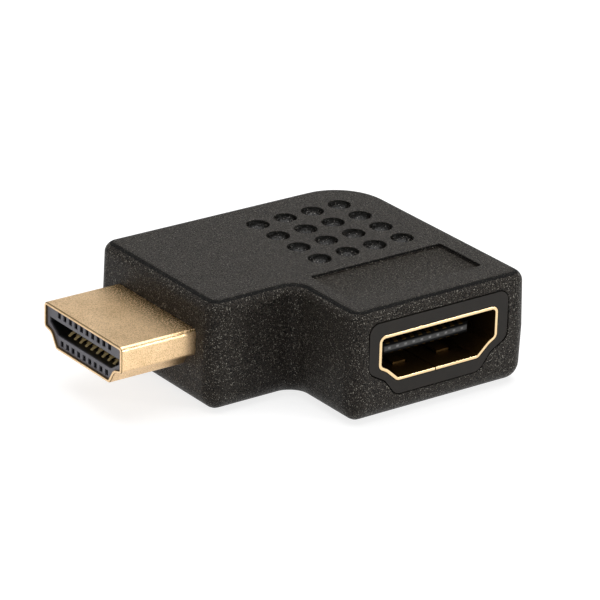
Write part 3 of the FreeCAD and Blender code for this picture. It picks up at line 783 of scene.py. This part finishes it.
@dataclass
class Housing:
    """The moulded housing: an L in plan, with its marks and openings."""

    thickness: float = 11.8
    plug_face: float = 20.38
    socket_face: float = 19.08
    arm_front: float = 9.48
    arm_back: float = 10.57
    block_left: float = 10.41
    block_right: float = 11.08
    draft: float = 1.8
    edge_round: float = 1.6
    back_round: float = 5.9
    inside_round: float = 1.2
    top_round: float = 1.1
    base_round: float = 1.95
    plan_steps: int = 12
    edge_steps: int = 8
    recess_size: Point = (16.1, 6.75)
    recess_middle: float = -11.93
    recess_depth: float = 0.4
    recess_taper: float = 0.03
    recess_corner: float = 0.3
    recess_steps: int = 5
    dimple_radius: float = 1.175
    dimple_step: Point = (3.43, 3.56)
    dimple_middle: Point = (0.62, 0.04)
    dimple_count: int = 4
    dimple_depth: float = 0.85
    dimple_sides: int = 40
    bowl_steps: int = 10
    lip: float = 0.1
    lip_steps: int = 4
    above: float = 0.5
    beyond: float = 2.0
    gap: float = 0.12
    plug_gap: float = 0.02
    side_wall: float = 2.1
    floor_wall: float = 1.8
    room_corner: float = 0.4
    room_steps: int = 6
    socket_depth: float = 8.57
    finish: MouldedGrain = field(default_factory=MouldedGrain)
    # Painted shade: the dimples are much darker than the rest of the housing, with brighter painted
    # glints.
    dimple_gloss_and_shade: MouldedGrain = MouldedGrain(
        "dimple_grain_and_shade", shade=(0.006, 0.005, 0.004), painted_glint=(0.30, 0.28, 0.25),
        pit_and_rim_shade=(0.003, 0.003, 0.002), glint_size=0.16, pit_size=0.2, depth=0.08, roughness=0.24,
        sheen=0.15,
    )

    def corners(self, inset: float, front: float) -> list[Point]:
        """Returns the sharp corners of the L, moved inward.

        Args:
            inset: The distance inward.
            front: The place of its end towards the socket.

        Returns:
            The corners, from the arm's back one.
        """
        left = inset - self.plug_face
        right = self.block_right - inset
        back = self.arm_back - inset
        inner_side = inset - self.block_left
        inner_front = inset - self.arm_front
        return [(left, back), (right, back), (right, front), (inner_side, front),
                (inner_side, inner_front), (left, inner_front)]

    def plan(self, inset: float) -> list[Point]:
        """Returns the outline of the L, moved inward.

        Args:
            inset: The distance inward.

        Returns:
            The outline's points.
        """
        outer = max(self.edge_round - inset, LEAST_RADIUS)
        radii = [outer, self.back_round - inset, outer, outer, self.inside_round + inset, outer]
        return rounded(self.corners(inset, inset - self.socket_face), radii, self.plan_steps)

    def slope(self, height: float) -> float:
        """Returns how far the side stands inward at a height, from the top edge's line."""
        middle = self.thickness / 2
        return (abs(height - middle) - middle) * math.tan(math.radians(self.draft))

    def profile(self) -> list[Point]:
        """Returns the side's profile.

        Returns:
            Pairs of inset and height, from the base to the top.
        """
        base = rounding(self.base_round, self.edge_steps)
        top = [(inset, self.thickness - drop)
               for drop, inset in rounding(self.top_round, self.edge_steps)]
        middle = [(0.0, self.thickness / 2)]
        return [(inset + self.slope(height), height) for inset, height in base + middle + top]

    def body(self) -> bpy.types.Object:
        """Makes the closed block with its rounded edges."""
        rings = [level_ring(self.plan(inset), height) for inset, height in self.profile()]
        return lofted("housing_skin", rings)

    def lathe_profile(self) -> list[Point]:
        """Returns a dimple's profile.

        Returns:
            Pairs of radius and height above the top, downward.
        """
        rim = self.dimple_radius
        deep = self.dimple_depth - self.lip
        wide = [(rim + self.lip, self.above)]
        lip = [(rim + flare, -drop) for flare, drop in rounding(self.lip, self.lip_steps)]
        bowl = [(rim * (1 - inset), -self.lip - deep * (1 - lift))
                for lift, inset in rounding(1.0, self.bowl_steps)[1:-1]]
        return wide + lip + bowl

    def dimple_field(self) -> bpy.types.Object:
        """Makes the shapes of all dimples.

        Returns:
            One object with all of them.
        """
        bm = bmesh.new()
        turns = [2 * math.pi * step / self.dimple_sides for step in range(self.dimple_sides)]
        (first, second), (step_x, step_y) = self.dimple_middle, self.dimple_step
        places = [index - (self.dimple_count - 1) / 2 for index in range(self.dimple_count)]
        for column, row in product(places, places):
            across, along = first + column * step_x, second + row * step_y
            loft(bm, [[Vector((across + radius * math.cos(turn), along + radius * math.sin(turn),
                               self.thickness + height)) for turn in turns]
                      for radius, height in self.lathe_profile()])
        return make_object("dimple_shapes", bm)

    def recess(self) -> bpy.types.Object:
        """Makes the shape of the recess above the socket.

        Returns:
            The shape.
        """
        edge = [(-flare, -drop) for flare, drop in rounding(self.lip, self.lip_steps)]
        levels = [(-self.lip, self.above), *edge, (self.recess_taper, -self.recess_depth)]
        rings = []
        for inset, height in levels:
            length, width = (side - 2 * inset for side in self.recess_size)
            corners = [(across, self.recess_middle + along)
                       for across, along in rectangle(length, width)]
            plan = rounded(corners, [self.recess_corner - inset] * 4, self.recess_steps)
            rings.append(level_ring(plan, self.thickness + height))
        return lofted("recess_shape", rings)

    def openings(self) -> list[bpy.types.Object]:
        """Makes the shapes of the openings for the surround and the plug.

        Returns:
            Both shapes.
        """
        front = -self.socket_face - self.beyond
        surround = [SURROUND_OUTLINE.ring(Heading.SOCKET, -self.gap, along)
                    for along in (front, -self.socket_depth)]
        left = -self.plug_face - self.beyond
        plug = [PLUG_OUTLINE.ring(Heading.PLUG, -self.plug_gap, along)
                for along in (left, -self.plug_face + self.side_wall + self.plug_gap)]
        return [lofted("surround_shape", surround), lofted("plug_shape", plug)]

    def inner_room(self) -> bpy.types.Object:
        """Makes the shape of the room for the inner mould.

        Returns:
            The shape.
        """
        inset = self.side_wall
        radii = [self.room_corner] * 6
        radii[1] = self.back_round - inset
        plan = rounded(self.corners(inset, -self.socket_depth - inset), radii, self.room_steps)
        heights = (self.floor_wall, self.thickness - self.floor_wall)
        return lofted("inner_room_shape", [level_ring(plan, height) for height in heights])

    def make(self) -> None:
        """Makes the housing."""
        shell = self.body()
        cut(shell, [self.dimple_field(), self.recess(), *self.openings(), self.inner_room()])
        smooth(shell)
        dress(shell, self.finish.make(), ["housing"])
        self.gloss_and_shade_dimples(shell)

    def gloss_and_shade_dimples(self, shell: bpy.types.Object) -> None:
        """Gives the dimples their glossier finish, darker with painted shade.

        Args:
            shell: The housing's object.
        """
        mesh = shell.data
        mesh.materials.append(self.dimple_gloss_and_shade.make())
        reach = (self.dimple_count - 1) / 2
        low = self.thickness - self.dimple_depth - self.lip
        for polygon in mesh.polygons:
            centre = polygon.center / MM
            across = abs(centre.x - self.dimple_middle[0]) / self.dimple_step[0]
            along = abs(centre.y - self.dimple_middle[1]) / self.dimple_step[1]
            inside = low < centre.z < self.thickness - self.lip
            if inside and across < reach + 0.5 and along < reach + 0.5:
                polygon.material_index = SECOND_MATERIAL


# The connectors

@dataclass
class FoldedShell:
    """The folded metal shell of a connector, an open tube with a rounded rim."""

    name: str
    node: str
    outline: KeyedOutline
    heading: Heading
    front: float
    back: float
    sheet: float
    outer_lip: float
    inner_lip: float
    finish: GoldPlate
    shade_gold: GoldPlate
    lip_steps: int = 4
    lip_facing: float = 0.6
    sharp_degrees: float = 38.0

    def rings(self) -> list[list[Vector]]:
        """Returns the rings of the tube.

        Returns:
            The rings, from the back of its outside to the back of its inside.
        """
        outside = [(inset, self.front + back)
                   for back, inset in rounding(self.outer_lip, self.lip_steps)]
        inside = [(self.sheet - inset, self.front + back)
                  for inset, back in rounding(self.inner_lip, self.lip_steps)]
        places = [(0.0, self.back), *outside, *inside, (self.sheet, self.back)]
        return [self.outline.ring(self.heading, inset, along) for inset, along in places]

    def make(self) -> None:
        """Makes the shell."""
        shell = lofted(self.name, self.rings(), looped=True)
        self.open_sheet(shell)
        smooth(shell, self.sharp_degrees)
        dress(shell, self.finish.make(), [self.node])
        self.shade_inside(shell)

    def shade_inside(self, shell: bpy.types.Object) -> None:
        """Gives the faces inside the tube and beside its rim a darker gold, which is painted shade.

        Args:
            shell: The shell's object.
        """
        mesh = shell.data
        mesh.materials.append(self.shade_gold.make())
        for polygon in mesh.polygons:
            centre = polygon.center / MM
            across, along = centre.x, centre.y
            if self.heading is Heading.PLUG:
                across, along = along, across
            away = self.heading.place(across, centre.z - self.outline.middle, 0.0)
            outward = polygon.normal.dot(away)
            ahead = abs(polygon.normal.dot(self.heading.place(0.0, 0.0, 1.0)))
            inside = along > self.front + self.inner_lip and outward < 0
            on_lip = self.heading is Heading.SOCKET or along < self.front + self.outer_lip
            if inside or (on_lip and ahead < self.lip_facing):
                polygon.material_index = SECOND_MATERIAL

    def open_sheet(self, shell: bpy.types.Object) -> None:
        """Cuts what this shell has open in its sheet; a plain shell has nothing."""


@dataclass
class SocketShell(FoldedShell):
    """The socket's shell, with its seam, windows and spring fingers."""

    seam_middle: float = -0.3
    seam_gap: float = 0.12
    finger_width: float = 1.5
    finger_length: float = 4.6
    finger_spread: float = 2.7
    finger_setback: float = 2.6
    finger_dip: float = 0.35
    finger_lift: float = 0.17
    finger_bent_share: float = 0.8
    finger_steps: int = 12
    finger_sharp_degrees: float = 50.0
    window_margin: float = 0.2
    beyond: float = 1.0

    def open_sheet(self, shell: bpy.types.Object) -> None:
        """Cuts the seam and the windows.

        Args:
            shell: The shell's object.
        """
        ceiling = self.outline.middle + self.outline.height / 2
        ground = self.outline.middle - self.outline.height / 2
        margin = self.sheet / 2
        half = self.seam_gap / 2
        seam = (Vector((self.seam_middle - half, self.front - self.beyond, ground - margin)),
                Vector((self.seam_middle + half, self.back + self.beyond,
                        ground + self.sheet + margin)))
        cutters = [block("seam_shape", *seam)]
        near = self.front + self.finger_setback
        far = near + self.window_margin + self.finger_length
        half = self.finger_width / 2 + self.window_margin
        spread = (-self.finger_spread, self.finger_spread)
        for place, low in product(spread, (ground - margin, ceiling - self.sheet - margin)):
            cutters.append(block("window_shape", Vector((place - half, near, low)),
                                 Vector((place + half, far, low + self.sheet + margin * 2))))
        cut(shell, cutters)

    def finger_line(self, side: int) -> list[Point]:
        """Returns the middle line of a spring finger as pairs of place and height.

        Args:
            side: 1 for the top of the shell and -1 for its bottom.

        Returns:
            The line's points, from its root to its tip.
        """
        root = self.front + self.finger_setback + self.window_margin + self.finger_length
        wall = self.outline.middle + side * (self.outline.height - self.sheet) / 2
        bent = self.finger_bent_share
        line = []
        for step in range(self.finger_steps + 1):
            share = step / self.finger_steps
            bend = math.sin(min(share / bent, 1.0) * math.pi / 2) ** 2 * self.finger_dip
            lift = max(share - bent, 0.0) / (1 - bent) * self.finger_lift
            line.append((root + self.sheet - share * (self.finger_length + self.sheet),
                         wall - side * (bend - lift)))
        return line

    def make_fingers(self) -> None:
        """Makes the four spring fingers."""
        bm = bmesh.new()
        section = rectangle(self.finger_width, self.sheet)
        for place, side in product((-self.finger_spread, self.finger_spread), (1, -1)):
            loft(bm, [[Vector((place + across, along, up + rise)) for across, rise in section]
                      for along, up in self.finger_line(side)])
        fingers = make_object("spring_fingers", bm)
        smooth(fingers, self.finger_sharp_degrees)
        # The fingers take the darker gold of the painted shade.
        dress(fingers, bpy.data.materials[self.shade_gold.name])


@dataclass
class ContactFronts:
    """The raised fronts of the plug's lower contacts, which show in its slot."""

    count: int = 9
    pitch: float = 1.0
    width: float = 0.3
    sheet: float = 0.12
    sharp_degrees: float = 30.0
    line: tuple[Point, ...] = ((-28.1, 5.4), (-27.75, 5.66), (-27.35, 5.76), (-26.5, 5.7))

    def make(self, material: bpy.types.Material) -> None:
        """Makes the strips, each in line with its contact.

        Args:
            material: The contacts' material.
        """
        bm = bmesh.new()
        section = rectangle(self.width, self.sheet)
        for index in range(self.count):
            middle = (index - (self.count - 1) / 2) * self.pitch
            loft(bm, [[Vector((along, middle + across, up + rise)) for across, rise in section]
                      for along, up in self.line])
        fronts = make_object("contact_fronts", bm)
        smooth(fronts, self.sharp_degrees)
        dress(fronts, material)


@dataclass
class Connectors:
    """Both connectors: their shells, and the finishes of their insulators and contacts."""

    plug: FoldedShell = field(default_factory=lambda: FoldedShell(
        "plug_sleeve", "plug_shell", PLUG_OUTLINE, Heading.PLUG,
        front=-29.16, back=-15.18, sheet=0.28, outer_lip=0.14, inner_lip=0.05,
        finish=GoldPlate("satin_gold", (1.0, 0.73, 0.44), (0.54, 0.35, 0.17), 0.32, grain=0.11,
                         depth=0.03, root=-20.4),
        shade_gold=GoldPlate("plug_shade_gold", (0.30, 0.20, 0.10), (0.20, 0.13, 0.06), 0.4),
    ))
    socket: SocketShell = field(default_factory=lambda: SocketShell(
        "socket_sleeve", "socket_shell", SOCKET_OUTLINE, Heading.SOCKET,
        front=-19.17, back=-8.57, sheet=0.33, outer_lip=0.08, inner_lip=0.05,
        finish=GoldPlate("bright_gold", (0.90, 0.68, 0.39), (0.84, 0.60, 0.33), 0.3),
        shade_gold=GoldPlate("socket_shade_gold", (0.11, 0.06, 0.02), (0.06, 0.035, 0.01), 0.45),
    ))
    fronts: ContactFronts = field(default_factory=ContactFronts)
    insulators: dict[str, SmoothMould] = field(default_factory=lambda: {
        "plug_insulator": SmoothMould(
            "plug_plastic", (0.13, 0.126, 0.144), (0.17, 0.165, 0.186),
            axis="X", face=-28.88, fade=0.25),
        "socket_insulator": SmoothMould(
            "tongue_plastic", (0.07, 0.07, 0.07), (0.11, 0.11, 0.11), sheen=0.1,
            axis="Y", face=-17.06, fade=0.1, level=6.44, half=0.22),
    })
    contacts: dict[str, GoldPlate] = field(default_factory=lambda: {
        "plug_contact": GoldPlate(
            "contact_gold", (1.0, 0.80, 0.40), (0.95, 0.70, 0.32), 0.5,
            metal=0.1, level=6.2, half=0.95),
        "socket_contact": GoldPlate(
            "shaded_gold", (0.10, 0.06, 0.02), (0.06, 0.035, 0.01), 0.5),
    })

    def make(self) -> None:
        """Makes the shells and dresses the CAD nodes of the connectors."""
        self.plug.make()
        self.socket.make()
        self.socket.make_fingers()
        for finishes in (self.insulators, self.contacts):
            for start, finish in finishes.items():
                coat(start, finish.make())
        self.fronts.make(bpy.data.materials["contact_gold"])


@dataclass
class InnerPieces:
    """The inner mould, whose end shows round the socket, and the circuit board."""

    mould: SmoothMould = SmoothMould(
        "surround_plastic", (0.010, 0.008, 0.006), (0.015, 0.012, 0.009), 0.5, sheen=0.2)
    board: BoardLacquer = field(default_factory=BoardLacquer)

    def make(self) -> None:
        """Dresses both CAD nodes."""
        coat("inner_mould", self.mould.make())
        coat("circuit_board", self.board.make())


# The studio

def direction(azimuth: float, elevation: float) -> Vector:
    """Returns the unit vector towards a place round the object.

    Args:
        azimuth: The angle from -Y towards +X, in degrees.
        elevation: The angle above the floor, in degrees.

    Returns:
        The unit vector.
    """
    turn, lift = math.radians(azimuth), math.radians(elevation)
    level = math.cos(lift)
    return Vector((math.sin(turn) * level, -math.cos(turn) * level, math.sin(lift)))


@dataclass
class Viewpoint:
    """The camera, at the place from which the object is seen."""

    azimuth: float = -36.455
    elevation: float = 23.075
    roll: float = 1.604
    distance: float = 379.086
    aim: tuple[float, float, float] = (-2.892, 0.013, 5.0)
    lens: float = 224.215
    sensor: float = 36.0
    clip_m: tuple[float, float] = (0.01, 20.0)

    def make(self) -> None:
        """Makes the camera."""
        tilt = math.radians(self.roll)
        back = direction(self.azimuth, self.elevation)
        right = direction(self.azimuth + 90, 0)
        up = right.cross(-back)
        data = bpy.data.cameras.new("viewpoint")
        data.sensor_width = self.sensor
        data.lens = self.lens
        data.clip_start, data.clip_end = self.clip_m
        camera = bpy.data.objects.new("viewpoint", data)
        axes = (math.cos(tilt) * right + math.sin(tilt) * up,
                math.cos(tilt) * up - math.sin(tilt) * right, back)
        matrix = camera.matrix_world.copy()
        for column, axis in enumerate(axes):
            matrix.col[column] = (*axis, 0.0)
        matrix.col[3] = (*((Vector(self.aim) + back * self.distance) * MM), 1.0)
        camera.matrix_world = matrix
        bpy.context.scene.collection.objects.link(camera)
        bpy.context.scene.camera = camera


@dataclass(frozen=True)
class SoftBox:
    """A large soft lamp that looks at the object. Its distance and size are in metres."""

    name: str
    azimuth: float
    elevation: float
    size: float
    power: float
    distance: float = 0.9

    def make(self, target: Vector) -> None:
        """Makes the lamp.

        Args:
            target: What it looks at, in metres.
        """
        away = direction(self.azimuth, self.elevation)
        data = bpy.data.lights.new(self.name, "AREA")
        data.shape = "SQUARE"
        data.size = self.size
        data.energy = self.power
        lamp = bpy.data.objects.new(self.name, data)
        lamp.location = target + away * self.distance
        lamp.rotation_mode = "QUATERNION"
        lamp.rotation_quaternion = away.to_track_quat("Z", "Y")
        bpy.context.scene.collection.objects.link(lamp)


@dataclass(frozen=True)
class Card:
    """A large card that shows only in reflections. Its sizes and distance are in metres."""

    name: str
    azimuth: float
    elevation: float
    width: float
    height: float
    glow: float
    distance: float = 1.2

    def make(self, target: Vector) -> None:
        """Makes the card.

        Args:
            target: What it faces, in metres.
        """
        away = direction(self.azimuth, self.elevation)
        right = direction(self.azimuth + 90, 0)
        up = away.cross(right)
        middle = target + away * self.distance
        bm = bmesh.new()
        bm.faces.new([bm.verts.new(middle + right * across + up * rise)
                      for across, rise in rectangle(self.width, self.height)])
        shown = make_object(self.name, bm)
        material = bpy.data.materials.new(self.name)
        graph = Graph(material)
        graph.surface(graph.add("ShaderNodeEmission", None, {"Strength": self.glow}))
        shown.data.materials.append(material)
        for kind in ("camera", "diffuse", "transmission", "volume_scatter", "shadow"):
            setattr(shown, f"visible_{kind}", False)


@dataclass
class Studio:
    """A white floor, a white surround, soft lamps and cards for the reflections."""

    middle_m: tuple[float, float, float] = (-0.004, -0.003, 0.005)
    floor_m: float = 8.0
    ambient: float = 0.2
    floor_shade: float = 0.8
    floor_glow: float = 0.8
    shown_shade: float = 0.34
    cards: tuple[Card, ...] = (
        Card("back_card", 146, 30, width=1.5, height=1.0, glow=0.36),
        Card("left_card", -150, 22, width=1.1, height=0.9, glow=0.08),
        Card("right_card", 45, 20, width=1.6, height=0.7, glow=0.06),
    )
    viewpoint: Viewpoint = field(default_factory=Viewpoint)
    lamps: tuple[SoftBox, ...] = (
        SoftBox("overhead_lamp", 140, 78, size=1.0, power=9.6),
        SoftBox("front_lamp", 36, 8, size=0.14, power=3.3),
        SoftBox("left_lamp", -92, 4, size=0.12, power=0.1),
        SoftBox("corner_lamp", -50, 2, size=0.1, power=0.45),
    )

    def seen(self, graph: Graph) -> Signal:
        """Tells the rays that show the background from those that only light.

        Args:
            graph: The graph of the floor or the surround.

        Returns:
            1 for a ray that shows it, and 0 for one that lights.
        """
        camera, glossy, transmission = (
            graph.add("ShaderNodeLightPath", output=f"Is {kind} Ray")
            for kind in ("Camera", "Glossy", "Transmission"))
        return camera.greater(glossy).greater(transmission)

    def make_world(self) -> None:
        """Makes the surround: white where it is seen, softer where it lights."""
        world = bpy.data.worlds.new("white_surround")
        bpy.context.scene.world = world
        graph = Graph(world)
        white = as_colour((1.0, 1.0, 1.0))
        shown, lit = (graph.add("ShaderNodeBackground", None, {"Color": white, "Strength": glow})
                      for glow in (1.0, self.ambient))
        mixed = graph.add("ShaderNodeMixShader", None, {0: self.seen(graph), 1: lit, 2: shown})
        graph.surface(mixed, "ShaderNodeOutputWorld")

    def make_floor(self) -> None:
        """Makes the floor, which keeps the object's shadow."""
        bm = bmesh.new()
        bm.faces.new([bm.verts.new((*corner, 0.0))
                      for corner in rectangle(self.floor_m, self.floor_m)])
        floor = make_object("floor", bm)
        material = bpy.data.materials.new("white_floor")
        graph = Graph(material)
        lit, shown = (graph.add("ShaderNodeBsdfDiffuse", None, {"Color": as_colour([shade] * 3)})
                      for shade in (self.floor_shade, self.shown_shade))
        glow = graph.add("ShaderNodeEmission", None, {"Strength": self.floor_glow})
        both = graph.add("ShaderNodeAddShader", None, {0: shown, 1: glow})
        mixed = graph.add("ShaderNodeMixShader", None, {0: self.seen(graph), 1: lit, 2: both})
        graph.surface(mixed)
        floor.data.materials.append(material)

    def make(self) -> None:
        """Makes the floor, the lamps, the cards, the surround and the camera."""
        self.make_world()
        self.make_floor()
        for item in (*self.lamps, *self.cards):
            item.make(Vector(self.middle_m))
        self.viewpoint.make()
        bpy.context.scene.view_settings.view_transform = "Standard"


def main() -> None:
    """Builds every piece in order."""
    logging.basicConfig(level=logging.INFO, format="%(message)s")
    for part in (Housing(), Connectors(), InnerPieces(), Studio()):
        part.make()


if __name__ == "__main__":
    main()
